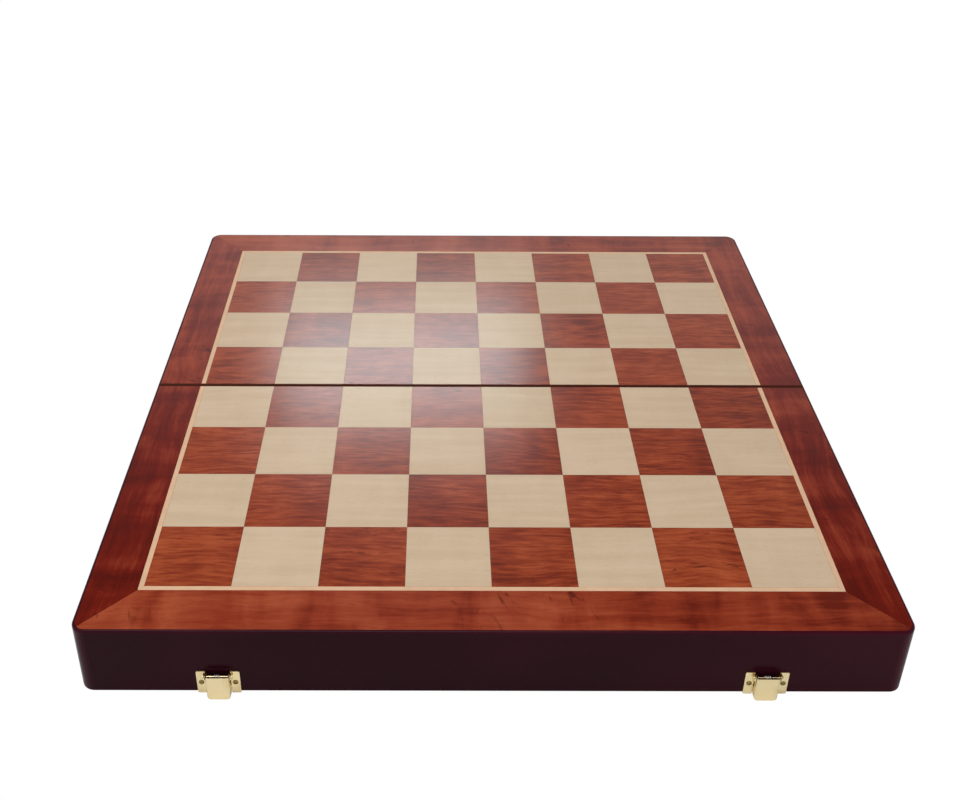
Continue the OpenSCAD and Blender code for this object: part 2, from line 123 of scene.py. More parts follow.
class HardwareProps(bpy.types.PropertyGroup):
    """Brass, steel, and the screws and springs made of them"""

    brass: colour("Brass", "Polished brass", (0.890, 0.745, 0.440))
    brass_dull: colour("Brass, tarnished", "Brass in corners and finger marks",
                       (0.640, 0.460, 0.190))
    # Darker than the brass partly as aged metal and partly as painted shade for the dark
    # surroundings that the domed heads mirror.
    bronzed: colour("Bronzed screws", "Darkened brass of the round-headed screws",
                    (0.270, 0.200, 0.075))
    steel: colour("Steel", "Bright spring steel", (0.620, 0.610, 0.590))
    edge: length("Edge rounding", "Rounding of the sheet brass edges", 0.12 * MM)
    slot_width: length("Slot width", "Width of the screws' slots", 0.5 * MM)
    slot_depth: length("Slot depth", "Depth of the screws' slots", 0.4 * MM)
    hinge_head: length("Hinge screw head", "Radius of the countersunk heads", 2 * MM)
    hinge_head_height: length("Hinge head height", "Height of the countersunk heads", 1 * MM)
    hinge_shank: length("Hinge screw shank", "Radius of the hinge screws", 1 * MM)
    hinge_length: length("Hinge screw length", "Length of the hinge screws", 10 * MM)
    catch_head: length("Catch screw head", "Radius of the round heads", 1.5 * MM)
    catch_dome: length("Catch head dome", "Height of the round heads", 0.9 * MM)
    catch_shank: length("Catch screw shank", "Radius of the catch screws", 0.9 * MM)
    catch_length: length("Catch screw length", "Length of the catch screws under the head", 8 * MM)
    seed: IntProperty(name="Seed", description="Picks how far each screw is turned",
                      default=7, min=0)
    wire: length("Spring wire", "Radius of the spring wire", 0.3 * MM)
    coil: length("Coil radius", "Radius of the spring's turns, to the middle of the wire", 0.9 * MM)
    turns: number("Turns", "Turns of the spring", 2.75, min=1, max=6)


class FeltProps(bpy.types.PropertyGroup):
    """The inserts that make the pockets"""

    felt: colour("Felt", "Dark red felt", (0.105, 0.008, 0.018))
    felt_tips: colour("Felt, fibre tips", "Tone of the raised fibres", (0.185, 0.022, 0.036))
    rounding: length("Divider rounding", "Rounding of the dividers' free edges", 1.2 * MM)


class StudioProps(bpy.types.PropertyGroup):
    """Floor, light and camera"""

    floor: colour("Floor", "Plain pale floor", (0.82, 0.82, 0.82))
    key: number("Key light", "Power of the soft light overhead, in watts", 15.6, min=0)
    back: number("Back light", "Power of the soft light behind the board, in watts", 4.1, min=0)
    back_tint: colour("Back light tint", "Colour of the soft light behind the board",
                      (0.80, 0.96, 1.0))
    camera: FloatVectorProperty(
        name="Camera", description="Place of the camera, its height above the playing face",
        size=3, subtype="TRANSLATION", default=(-0.02995, -0.66648, 0.46941))
    turn: FloatVectorProperty(
        name="Camera turn", description="Turn of the camera about X, Y and Z",
        size=3, subtype="EULER", default=[math.radians(a) for a in (60.7005, -0.2365, -0.0517)])
    focal_px: number("Focal length", "Focal length in pixels of the picture", 1164.8, min=1)
    centre_px: FloatVectorProperty(
        name="Optical centre", description="Optical centre in pixels of the picture",
        size=2, default=(441.92, 266.02))


# ---- Node trees ----


class Signal:
    """What one socket gives. Arithmetic on a number adds Math nodes."""

    def __init__(self, wiring, socket):
        self.wiring, self.socket = wiring, socket

    def math(self, operation, *others, clamp=False):
        values = (self, *others)
        return self.wiring.node("ShaderNodeMath", {"operation": operation, "use_clamp": clamp},
                                dict(enumerate(values)))

    def _reflected(self, operation, other):
        return self.wiring.node("ShaderNodeMath", {"operation": operation}, {0: other, 1: self})

    def __add__(self, other):
        return self.math("ADD", other)

    def __sub__(self, other):
        return self.math("SUBTRACT", other)

    def __mul__(self, other):
        return self.math("MULTIPLY", other)

    def __truediv__(self, other):
        return self.math("DIVIDE", other)

    def __radd__(self, other):
        return self._reflected("ADD", other)

    def __rsub__(self, other):
        return self._reflected("SUBTRACT", other)

    def __rmul__(self, other):
        return self._reflected("MULTIPLY", other)

    def __neg__(self):
        return self._reflected("MULTIPLY", -1)

    def __abs__(self):
        return self.math("ABSOLUTE")

    def clamped(self):
        return self.math("ADD", 0, clamp=True)


class Wiring:
    """Adds nodes to a tree."""

    def __init__(self, tree):
        self.tree = tree

    def node(self, kind, settings=None, sockets=None, give=0):
        """Adds a node, its settings first and then its sockets, and gives its outputs."""
        made = self.tree.nodes.new(kind)
        for name, value in (settings or {}).items():
            if name == "stops":
                stops = made.color_ramp.elements
                while len(stops) < len(value):
                    stops.new(1)
                for stop, (place, tone) in zip(stops, value):
                    stop.position = place
                    stop.color = (*tone, 1)
            else:
                setattr(made, name, value)
        for key, value in (sockets or {}).items():
            if isinstance(value, (list, tuple)) and value and isinstance(value[0], Signal):
                for each in value:
                    self.tree.links.new(each.socket, made.inputs[key])
            elif isinstance(value, Signal):
                self.tree.links.new(value.socket, made.inputs[key])
            else:
                made.inputs[key].default_value = value
        if isinstance(give, tuple):
            return [Signal(self, made.outputs[g]) for g in give]
        return Signal(self, made.outputs[give]) if len(made.outputs) else None

    def vector(self, x, y, z):
        return self.node("ShaderNodeCombineXYZ", {}, {0: x, 1: y, 2: z})

    def parts(self, vector):
        return self.node("ShaderNodeSeparateXYZ", {}, {0: vector}, give=(0, 1, 2))


class Finish(Wiring):
    """A material: textures on object coordinates, into one Principled surface."""

    def __init__(self, name):
        self.material = bpy.data.materials.new(name)
        self.material.use_nodes = True
        super().__init__(self.material.node_tree)
        self.tree.nodes.clear()
        self.place = self.node("ShaderNodeTexCoord", give="Object")

    def noise(self, vector, scale=1.0, detail=2.0, roughness=0.5, distortion=0.0):
        """Noise between 0 and 1 whose mean is one half."""
        return self.node("ShaderNodeTexNoise", {"noise_dimensions": "3D"},
                         {"Vector": vector, "Scale": scale, "Detail": detail,
                          "Roughness": roughness, "Distortion": distortion})

    def chances(self, x, y, pitch, layer):
        """Three random numbers for each square of that pitch."""
        cell = self.vector((x / pitch).math("FLOOR"), (y / pitch).math("FLOOR"), layer)
        return self.parts(self.node("ShaderNodeTexWhiteNoise", {"noise_dimensions": "3D"},
                                    {"Vector": cell}, give=1))

    def ramp(self, factor, stops):
        return self.node("ShaderNodeValToRGB", {"stops": stops}, {0: factor})

    def step(self, value, low, high, to_low=0.0, to_high=1.0):
        return self.node("ShaderNodeMapRange", {"interpolation_type": "SMOOTHSTEP"},
                         {0: value, 1: low, 2: high, 3: to_low, 4: to_high})

    def mix(self, factor, a, b):
        a, b = ((*tone, 1) if isinstance(tone, tuple) else tone for tone in (a, b))
        return self.node("ShaderNodeMix", {"data_type": "RGBA"}, {0: factor, 6: a, 7: b}, give=2)

    def bump(self, height, distance):
        return self.node("ShaderNodeBump", {},
                         {"Strength": 1.0, "Distance": distance, "Height": height})

    def surface(self, **sockets):
        """Ends the material. Underscores in the names stand for spaces."""
        named = {name.replace("_", " "): value for name, value in sockets.items()}
        skin = self.node("ShaderNodeBsdfPrincipled", {}, named)
        self.node("ShaderNodeOutputMaterial", {}, {"Surface": skin})
        return self.material


class Recipe(Wiring):
    """A Geometry Nodes tree with named inputs."""

    def __init__(self, name):
        super().__init__(bpy.data.node_groups.new(name, "GeometryNodeTree"))
        self.sockets = {}
        for way in ("INPUT", "OUTPUT"):
            self.socket("Geometry", "Geometry", way)

    def socket(self, name, kind, way="INPUT"):
        return self.tree.interface.new_socket(name, in_out=way, socket_type="NodeSocket" + kind)

    def inputs(self, **kinds):
        """Adds the inputs, by name and kind, and gives them all, the geometry first."""
        for name, kind in kinds.items():
            self.sockets[name] = self.socket(name, kind).identifier
        return self.node("NodeGroupInput", give=tuple(range(len(kinds) + 1)))

    def moved(self, mesh, **how):
        return self.node("GeometryNodeTransform", {}, {"Geometry": mesh, **how})

    def stored(self, name, kind="FLOAT"):
        """What the seed points carry under that name."""
        return self.node("GeometryNodeInputNamedAttribute", {"data_type": kind}, {"Name": name})

    def spin(self, angle):
        """A turn about Z."""
        return self.node("FunctionNodeAxisAngleToRotation", {}, {"Axis": (0, 0, 1), "Angle": angle})

    def on_points(self, points, piece, **how):
        seats = self.node("GeometryNodeMeshToPoints", {}, {"Mesh": points})
        return self.node("GeometryNodeInstanceOnPoints", {},
                         {"Points": seats, "Instance": piece, **how})

    def finish(self, geometry, material):
        real = self.node("GeometryNodeRealizeInstances", {}, {"Geometry": geometry})
        painted = self.node("GeometryNodeSetMaterial", {}, {"Geometry": real, "Material": material})
        self.node("NodeGroupOutput", {}, {0: painted})
        return self

    def grow(self, name, seeds, smooth_below=40, **values):
        """Runs the tree on the seed points and leaves a plain mesh."""
        maker = bpy.data.objects.new(name + "_maker", seeds)
        bpy.context.collection.objects.link(maker)
        build = maker.modifiers.new("Build", "NODES")
        build.node_group = self.tree
        for key, value in values.items():
            build[self.sockets[key]] = value
        bpy.context.view_layer.update()
        result = maker.evaluated_get(bpy.context.evaluated_depsgraph_get())
        mesh = bpy.data.meshes.new_from_object(result)
        maker.modifiers.remove(build)
        bpy.data.objects.remove(maker)
        if not mesh.polygons:
            raise RuntimeError(f"{name} came out empty")
        mesh.name = name
        mesh.shade_smooth()
        mesh.set_sharp_from_angle(angle=math.radians(smooth_below))
        for key in SEED_DATA:
            if key in mesh.attributes:
                mesh.attributes.remove(mesh.attributes[key])
        piece = bpy.data.objects.new(name, mesh)
        bpy.context.collection.objects.link(piece)
        return piece


def seed_points(name, places, **attributes):
    """A mesh of loose points, with a vector or a number stored on each."""
    mesh = bpy.data.meshes.new(name)
    mesh.from_pydata([tuple(p) for p in places], [], [])
    for key, values in attributes.items():
        if isinstance(values[0], (int, float)):
            mesh.attributes.new(key, "FLOAT", "POINT").data.foreach_set("value", values)
        else:
            flat = [c for v in values for c in v]
            mesh.attributes.new(key, "FLOAT_VECTOR", "POINT").data.foreach_set("vector", flat)
    return mesh


# ---- Finishes ----
# Noise scales count repeats to a metre, so 1000 is one to a millimetre.


def square_pitch():
    """Side of one square, from the packed model."""
    low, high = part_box("near_dark_squares")
    return round((high.x - low.x) / SQUARES, 4)


def tones(looks, *names):
    """The named colours of a group of settings, as plain tuples."""
    return [tuple(getattr(looks, name)) for name in names]


def scaled(tone, factor):
    """A darker or lighter shade of a tone."""
    return tuple(min(1, channel * factor) for channel in tone)


def rosewood(name, shades, coat, by_square=False, grain_along="x", painted_falloff=0.0):
    """Reddish brown veneer: streaks along the grain, clouds across it, short dark marks. Each
    square is a leaf of its own. Along a border the colour changes steadily by the painted falloff,
    which is painted light: it stands in for how the light falls across the board."""
    w = Finish(name)
    x, y, z = w.parts(w.place)
    shift = 0.0
    if by_square:
        first, second, third = w.chances(x, y, square_pitch(), 0.5)
        x, y, shift = x + first * 3.1, y + second * 2.3, (third - 0.5) * 0.07
    u, v = (x, y) if grain_along == "x" else (y, x)
    sway = w.noise(w.vector(u * 9, v * 13, z * 11), detail=2)
    wavy = v + (sway - 0.5) * 0.022
    bands = w.noise(w.vector(u * 9, wavy * 120, z * 20), detail=3, roughness=0.55, distortion=0.3)
    streaks = w.noise(w.vector(u * 66, wavy * 520, z * 60), detail=3, roughness=0.6)
    clouds = w.noise(w.vector(u * 38, wavy * 12, z * 12), detail=3, roughness=0.5, distortion=0.5)
    in_bands, in_streaks, in_clouds = (0.30, 0.48, 0.22) if by_square else (0.34, 0.18, 0.48)
    # Painted light: the falloff term tilts the border's colour along its length.
    figure = bands * in_bands + streaks * in_streaks + clouds * in_clouds + shift + u * painted_falloff
    dark, mid, light = shades
    ground = w.ramp(figure, [(0.37, dark), (0.47, mid), (0.64, light)])
    # Short dark marks: across the grain on the border, along it on the squares
    course = (w.vector((u + v * 0.3) * 60, v * 300, z * 20) if by_square
              else w.vector((u + v * 0.3) * 135, v * 42, z * 20))
    marks = w.step(w.noise(course, detail=3, distortion=1.2), 0.60, 0.74)
    where = w.step(w.noise(w.vector(u * 12, v * 16, z * 9), detail=1), 0.44, 0.60)
    pores = w.step(w.noise(w.vector(u * 230, v * 2400, z * 100), detail=1), 0.60, 0.70)
    marked = w.mix(marks * where * 0.8, ground, scaled(dark, 0.6))
    face = w.mix(pores * 0.30, marked, dark)
    return w.surface(Base_Color=face, Roughness=0.46 - streaks * 0.12, Specular_IOR_Level=0.0,
                     Coat_Weight=coat, Coat_Roughness=VENEER_COAT_ROUGHNESS,
                     Normal=w.bump(streaks * 0.7 - pores, 0.02 * MM))


def maple(name, tone, streak, coat):
    """Pale close-grained veneer, a little different from square to square."""
    w = Finish(name)
    x, y, z = w.parts(w.place)
    first, second, tone_shift = w.chances(x, y, square_pitch(), 2.5)
    x, y = x + first * 2.7, y + second * 1.9
    sway = w.noise(w.vector(x * 5, y * 9, z * 9))
    v = y + (sway - 0.5) * 0.02
    grain = w.noise(w.vector(x * 11, v * 150, z * 30), detail=4, roughness=0.6)
    fleck = w.noise(w.vector(x * 260, v * 1500, z * 90), detail=1)
    shimmer = w.noise(w.vector(x * 60, y * 24, z * 20), detail=2)
    figure = w.step(grain * 0.7 + shimmer * 0.3 + (tone_shift - 0.5) * 0.12, 0.34, 0.66)
    face = w.mix(figure, streak, tone)
    flecked = w.mix(w.step(fleck, 0.60, 0.74) * 0.22, face, scaled(streak, 0.62))
    return w.surface(Base_Color=flecked, Roughness=0.46 - grain * 0.10, Specular_IOR_Level=0.0,
                     Coat_Weight=coat, Coat_Roughness=VENEER_COAT_ROUGHNESS,
                     Normal=w.bump(grain, 0.015 * MM))


def pale_line(name, tone, coat):
    """The stringing: one pale, faintly streaked line."""
    w = Finish(name)
    x, y, z = w.parts(w.place)
    streaks = w.noise(w.vector(x * 120, y * 120, z * 60), detail=3)
    face = w.mix(streaks, scaled(tone, 0.86), scaled(tone, 1.12))
    return w.surface(Base_Color=face, Roughness=0.42 - streaks * 0.08, Specular_IOR_Level=0.0,
                     Coat_Weight=coat, Coat_Roughness=VENEER_COAT_ROUGHNESS)


def lacquer(name, body, thin_and_sheen_tone, bare):
    """Deep red lacquer, near black, with random cloudy tones, lighter along the bottom edge, and
    rubbed to the wood along the fold. Its colour also holds painted light: a painted sheen on the
    upright corners, a painted highlight along the rounded top edge, and a painted lighter tone
    towards +X."""
    w = Finish(name)
    x, y, z = w.parts(w.place)
    cloud = w.noise(w.place, scale=14, detail=3)
    peel = w.noise(w.place, scale=420, detail=2)
    dust = w.step(w.noise(w.place, scale=900, detail=1), 0.68, 0.76)
    rim_z, (half_w, _, face_z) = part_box("near_front_wall")[0].z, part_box("near_top_panel")[1]
    rim = w.step(z, rim_z, rim_z + 1.2 * MM, 1.0, 0.0)
    # Painted highlight: the rounded top edge is lightened in colour.
    painted_edge_highlight = w.step(z, face_z - 3.0 * MM, face_z - 0.2 * MM)
    square_corner = 2 * half_w  # what |x| + |y| would reach without the rounding
    # Painted sheen: the upright corners are lightened in colour.
    painted_corner_sheen = w.step(abs(x) + abs(y), square_corner - 9 * MM, square_corner - 4.5 * MM)
    # Painted light: the walls grow lighter towards +X.
    painted_light_along_x = w.step(x, 0.1 * half_w, half_w, 0.0, 0.42)
    # Blends the painted highlight, sheen and light with the lighter bottom edge and the random
    # clouds into one mask.
    thin_and_sheen = (rim * 0.5 + painted_edge_highlight * 0.4 + painted_corner_sheen * 0.6 + painted_light_along_x + (cloud - 0.5) * 0.8).clamped()
    by_fold = w.step(abs(y), 2.2 * MM, 3.0 * MM, 1.0, 0.0)
    fold = by_fold * w.step(z, face_z - 1.5 * MM, face_z - 0.6 * MM)
    face = w.mix(fold, w.mix(thin_and_sheen, body, thin_and_sheen_tone), bare)
    return w.surface(Base_Color=face, Roughness=0.14 + cloud * 0.08 + dust * 0.15 + fold * 0.45,
                     Specular_IOR_Level=0.04, Coat_Weight=0.04 * (1 - fold), Coat_Roughness=0.05,
                     Normal=w.bump(peel * 0.5 + cloud * 2.0, 0.02 * MM))


def brass(name, bright, dull, polish=0.17):
    """Sheet brass with hairline scratches and a little tarnish. A low polish value is a mirror."""
    w = Finish(name)
    x, y, z = w.parts(w.place)
    hairs = w.noise(w.vector(x * 2600, y * 2600, z * 130), detail=2)
    marks = w.noise(w.place, scale=110, detail=2)
    tarnish = w.step(marks, 0.45, 0.75)
    face = w.mix(tarnish * 0.30, bright, dull)
    return w.surface(Base_Color=face, Metallic=1.0,
                     Roughness=polish + hairs * 0.10 + tarnish * 0.10,
                     Normal=w.bump(hairs, 0.004 * MM))


def steel(name, tone):
    """Bright drawn steel."""
    w = Finish(name)
    x, y, z = w.parts(w.place)
    drawn = w.noise(w.vector(x * 300, y * 3000, z * 3000), detail=2)
    face = w.mix(drawn * 0.5, tone, scaled(tone, 0.72))
    return w.surface(Base_Color=face, Metallic=1.0, Roughness=0.20 + drawn * 0.14,
                     Normal=w.bump(drawn, 0.004 * MM))


def felt(name, ground, tips):
    """Short dark red felt with a matted nap."""
    w = Finish(name)
    nap = w.noise(w.place, scale=1500, detail=3, roughness=0.7)
    matted = w.noise(w.place, scale=90, detail=3, distortion=0.6)
    fibres = w.node("ShaderNodeTexVoronoi", {"feature": "DISTANCE_TO_EDGE"},
                    {"Vector": w.place, "Scale": 2200.0, "Randomness": 1.0})
    raised = w.step(nap * 0.7 + matted * 0.3, 0.40, 0.66)
    face = w.mix(raised, ground, tips)
    return w.surface(Base_Color=face, Roughness=0.92 - raised * 0.06, Specular_IOR_Level=0.15,
                     Sheen_Weight=0.35, Sheen_Roughness=0.5, Sheen_Tint=(0.62, 0.22, 0.26, 1.0),
                     Normal=w.bump(nap + fibres * 0.4 + matted * 0.5, 0.25 * MM))


# ---- Shared steps ----


def show(node, material):
    """Gives a packed node its finish."""
    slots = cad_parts[node].data.materials
    slots.clear()
    slots.append(material)


def soften_edges(node, width):
    """Rounds the sharp edges of a metal node; its own mesh stays as packed."""
    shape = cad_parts[node]
    weld = shape.modifiers.new("Join", "WELD")
    weld.merge_threshold = 0.001 * MM
    bevel = shape.modifiers.new("Edges", "BEVEL")
    bevel.width = width
    bevel.segments = 2
    bevel.limit_method = "ANGLE"
    bevel.angle_limit = math.radians(38)  # above the steps of the facets round a bend


def centres(node, count):
    """Middles along X of the separate solids of a node, found by the gaps between them."""
    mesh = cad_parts[node].data
    xs = sorted(v.co.x for v in mesh.vertices)
    groups = [[xs[0]]]
    for a in xs[1:]:
        if a - groups[-1][-1] > SOLID_GAP:
            groups.append([])
        groups[-1].append(a)
    if len(groups) != count:
        raise RuntimeError(f"{node} has {len(groups)} solids along X, not {count}")
    return [(g[0] + g[-1]) / 2 for g in groups]


# ---- Operators ----


class CHESSBOX_OT_studio(bpy.types.Operator):
    """Add the floor, the soft lights and the camera"""

    bl_idname = "chessbox.studio"
    bl_label = "Studio"

    def execute(self, context):
        looks = context.scene.chess_studio
        self.add_camera(context, looks)
        self.add_floor(looks)
        self.add_lights(looks)
        self.add_world(context)
        view = context.scene.view_settings
        view.view_transform = "Standard"
        view.look = "None"
        return {"FINISHED"}

    def add_camera(self, context, looks):
        data = bpy.data.cameras.new("camera")
        data.sensor_width = 36
        data.lens = looks.focal_px / PICTURE[0] * data.sensor_width
        data.shift_x = (PICTURE[0] / 2 - looks.centre_px[0]) / PICTURE[0]
        data.shift_y = (looks.centre_px[1] - PICTURE[1] / 2) / PICTURE[0]
        data.clip_start = 0.01
        camera = bpy.data.objects.new("camera", data)
        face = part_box("near_top_panel")[1].z
        camera.location = Vector(looks.camera) + Vector((0, 0, face))
        camera.rotation_euler = Euler(looks.turn)
        context.collection.objects.link(camera)
        context.scene.camera = camera

    def add_floor(self, looks):
        mesh = bpy.data.meshes.new("floor")
        reach = 4.0
        corners = ((-1, -1), (1, -1), (1, 1), (-1, 1))
        mesh.from_pydata([(x * reach, y * reach, 0) for x, y in corners], [], [(0, 1, 2, 3)])
        floor = bpy.data.objects.new("floor", mesh)
        bpy.context.collection.objects.link(floor)
        w = Finish("floor")
        grey = w.noise(w.place, scale=3, detail=2)
        (tone,) = tones(looks, "floor")
        mesh.materials.append(w.surface(Base_Color=w.mix(grey, scaled(tone, 0.97), tone),
                                        Roughness=0.8, Specular_IOR_Level=0.2))
        # The floor lights and mirrors in the box, and the camera sees through it, so that a half
        # folded down below it still shows against the same white.
        floor.visible_camera = False

    def add_lights(self, looks):
        """A large light overhead, and a smaller one that the far squares mirror as a haze."""
        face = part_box("near_top_panel")[1].z
        for name, power, tint, size, place, aim in (
                ("key", looks.key, (1, 1, 1), (1.4, 0.9), (-0.25, -0.35, 1.25), (0, 0, 0)),
                ("back", looks.back, looks.back_tint, (0.50, 0.21),
                 (-0.108, 1.340, 0.94), (-0.055, 0.022, face))):
            data = bpy.data.lights.new(name, "AREA")
            data.energy = power
            data.color = tint
            data.shape = "RECTANGLE"
            data.size, data.size_y = size
            light = bpy.data.objects.new(name, data)
            light.location = place
            ray = Vector(aim) - light.location
            light.rotation_euler = ray.to_track_quat("-Z", "Y").to_euler()
            bpy.context.collection.objects.link(light)

    def add_world(self, context):
        """Surroundings: bright about the horizon, dark overhead, plain white to the camera."""
        world = bpy.data.worlds.new("studio")
        world.use_nodes = True
        world.node_tree.nodes.clear()
        context.scene.world = world
        w = Wiring(world.node_tree)
        direction = w.node("ShaderNodeTexCoord", give="Generated")
        height = w.parts(direction)[2]
        # Greys from straight down, 0, over the horizon, 0.5, to straight up, 1
        greys = ((0.0, 0.60), (0.49, 0.78), (0.64, 0.80), (0.70, 1.0),
                 (0.76, 1.0), (0.80, 0.18), (0.85, 0.04), (1.0, 0.04))
        sky = w.node("ShaderNodeValToRGB", {"stops": [(p, (g, g, g)) for p, g in greys]},
                     {0: height * 0.5 + 0.5})
        seen = w.node("ShaderNodeLightPath", give="Is Camera Ray")
        shown = w.node("ShaderNodeMix", {"data_type": "RGBA"},
                       {0: seen, 6: sky, 7: (1, 1, 1, 1)}, give=2)
        light = w.node("ShaderNodeBackground", {}, {"Color": shown, "Strength": 1.0})
        w.node("ShaderNodeOutputWorld", {}, {"Surface": light})


class CHESSBOX_OT_carcase(bpy.types.Operator):
    """Lacquer the walls and the panels"""

    bl_idname = "chessbox.carcase"
    bl_label = "Carcase"

    def execute(self, context):
        looks = context.scene.chess_lacquer
        finish = lacquer("lacquer", *tones(looks, "body", "thin_and_sheen_tone", "bare"))
        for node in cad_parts:
            if node.endswith(("_wall", "_top_panel")):
                show(node, finish)
        return {"FINISHED"}


class CHESSBOX_OT_inlay(bpy.types.Operator):
    """Finish the squares, the stringing and the mitred border"""

    bl_idname = "chessbox.inlay"
    bl_label = "Inlay"

    def execute(self, context):
        looks = context.scene.chess_veneer
        squares, across, along = (
            tones(looks, f"{kind}_dark", f"{kind}_mid", f"{kind}_light")
            for kind in ("square", "across", "along"))
        # Painted light falloff: the front and back borders grow darker towards +X, the side borders
        # lighter towards +Y.
        front = rosewood("rosewood_across", across, looks.coat, painted_falloff=-0.34)
        side = rosewood("rosewood_along", along, looks.coat, grain_along="y", painted_falloff=0.28)
        finishes = {
            "dark_squares": rosewood("rosewood_squares", squares, looks.coat, by_square=True),
            "light_squares": maple("maple", *tones(looks, "maple", "maple_streak"),
                                   looks.pale_coat),
            "stringing": pale_line("stringing", *tones(looks, "stringing"), looks.pale_coat),
            "border_front": front, "border_back": front, "border_left": side, "border_right": side,
        }
        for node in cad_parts:
            kind = node.split("_", 1)[1]
            if kind in finishes:
                show(node, finishes[kind])
        return {"FINISHED"}


class CHESSBOX_OT_metalwork(bpy.types.Operator):
    """Polish the hinges, catches and strikes and round their edges"""

    bl_idname = "chessbox.metalwork"
    bl_label = "Metalwork"

    def execute(self, context):
        looks = context.scene.chess_hardware
        polished = brass("brass", *tones(looks, "brass", "brass_dull"))
        # A darker copy of the brass for the round heads: partly aged metal, partly painted shade
        # for the dark surroundings that the domed heads mirror.
        (bronzed,) = tones(looks, "bronzed")
        brass("bronzed", bronzed, scaled(bronzed, 0.5), polish=0.30)
        bright = steel("steel", *tones(looks, "steel"))
        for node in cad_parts:
            if node.startswith(("hinge_", "catch_", "strike_")):
                hinge_pin = node.startswith("hinge_") and node.endswith("_pin")
                show(node, bright if hinge_pin else polished)
            if node.endswith(("_plate", "_lever", "strike_left", "strike_right", "_leaf")):
                soften_edges(node, looks.edge)
        return {"FINISHED"}


class CHESSBOX_OT_screws(bpy.types.Operator):
    """Drive slotted screws into the hinges, catch plates and strikes"""

    bl_idname = "chessbox.screws"
    bl_label = "Screws"

    HEAD_SIDES, HEAD_RINGS, SHANK_SIDES = 32, 7, 20
    DOME_RIM = 0.2 * MM  # height of a round head at its edge
    TIP_LENGTH, TIP_RADIUS = 2 * MM, 0.1 * MM

    def execute(self, context):
        looks = context.scene.chess_hardware
        recipe = self.recipe()
        sizes = {"Slot_Width": looks.slot_width, "Slot_Depth": looks.slot_depth}
        flat = {**sizes, "Head_Radius": looks.hinge_head, "Under_Radius": looks.hinge_shank,
                "Head_Height": looks.hinge_head_height, "Dome": 0.0,
                "Shank_Radius": looks.hinge_shank,
                "Length": looks.hinge_length - looks.hinge_head_height,
                "Material": bpy.data.materials["brass"]}
        domed = {**sizes, "Head_Radius": looks.catch_head, "Under_Radius": looks.catch_head,
                 "Head_Height": self.DOME_RIM, "Dome": looks.catch_dome - self.DOME_RIM,
                 "Shank_Radius": looks.catch_shank, "Length": looks.catch_length,
                 "Material": bpy.data.materials["bronzed"]}
        for index, (name, node, body, out, values) in enumerate((
                ("near_hinge_screws", "hinge_screws_near", "near_half", (0, 0, -1), flat),
                ("far_hinge_screws", "hinge_screws_far", "far_half", (0, 0, -1), flat),
                ("plate_screws", "catch_screws", "near_half", (0, -1, 0), domed),
                ("strike_plate_screws", "strike_screws", "far_half", (0, 1, 0), domed))):
            places = self.places(node, out, values)
            seeds = seed_points(name + "_places", places, out=[out] * len(places))
            piece = recipe.grow(name, seeds, Seed=looks.seed + index, **values)
            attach(piece, body)
            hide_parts(node)
        return {"FINISHED"}

    def places(self, node, out, values):
        """Where each screw's head seats, from the packed screws."""
        low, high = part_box(node)
        middle = (low + high) / 2
        if out[2]:
            seat = low.z + values["Head_Height"]
            return [(x, middle.y, seat) for x in centres(node, HINGE_SCREWS)]
        tall = values["Head_Height"] + values["Dome"]
        seat = (low.y + tall) if out[1] < 0 else (high.y - tall)
        return [(x, seat, middle.z) for x in centres(node, CATCH_SCREWS)]

    def recipe(self):
        r = Recipe("Slotted screw")
        (points, head_r, under_r, head_h, dome, slot_w, slot_d, shank_r, long, seed,
         material) = r.inputs(
            Head_Radius="Float", Under_Radius="Float", Head_Height="Float", Dome="Float",
            Slot_Width="Float", Slot_Depth="Float", Shank_Radius="Float", Length="Float",
            Seed="Int", Material="Material")
        head = r.node("GeometryNodeMeshCone", {"fill_type": "NGON"},
                      {"Vertices": self.HEAD_SIDES, "Side Segments": 1,
                       "Fill Segments": self.HEAD_RINGS,
                       "Radius Top": head_r, "Radius Bottom": under_r, "Depth": head_h})
        x, y, z = r.parts(r.node("GeometryNodeInputPosition"))
        spread = (x * x + y * y) / (head_r * head_r)
        on_top = z.math("GREATER_THAN", head_h * 0.9)
        rise = r.vector(0.0, 0.0, on_top * dome * (1 - spread))
        domed = r.node("GeometryNodeSetPosition", {}, {"Geometry": head, "Offset": rise})
        bar = r.node("GeometryNodeMeshCube", {},
                     {"Size": r.vector(head_r * 2.4, slot_w, slot_d * 2)})
        bar = r.moved(bar, Translation=r.vector(0.0, 0.0, head_h + dome))
        slotted = r.node("GeometryNodeMeshBoolean", {"operation": "DIFFERENCE", "solver": "EXACT"},
                         {"Mesh 1": domed, "Mesh 2": bar})
        straight = long - self.TIP_LENGTH
        shank = r.node("GeometryNodeMeshCylinder", {"fill_type": "NGON"},
                       {"Vertices": self.SHANK_SIDES, "Radius": shank_r, "Depth": straight})
        shank = r.moved(shank, Translation=r.vector(0.0, 0.0, straight * -0.5))
        point = r.node("GeometryNodeMeshCone", {"fill_type": "NGON"},
                       {"Vertices": self.SHANK_SIDES, "Radius Top": shank_r,
                        "Radius Bottom": self.TIP_RADIUS, "Depth": self.TIP_LENGTH})
        point = r.moved(point, Translation=r.vector(0.0, 0.0, -long))
        screw = r.node("GeometryNodeJoinGeometry", {}, {0: [slotted, shank, point]})
        facing = r.node("FunctionNodeAlignRotationToVector", {"axis": "Z"},
                        {"Vector": r.stored("out", "FLOAT_VECTOR")})
        angle = r.node("FunctionNodeRandomValue", {"data_type": "FLOAT"},
                       {2: 0.0, 3: math.pi, "Seed": seed}, give=1)
        turned = r.node("FunctionNodeRotateRotation", {"rotation_space": "LOCAL"},
                        {"Rotation": facing, "Rotate By": r.spin(angle)})
        return r.finish(r.on_points(points, screw, Rotation=turned), material)


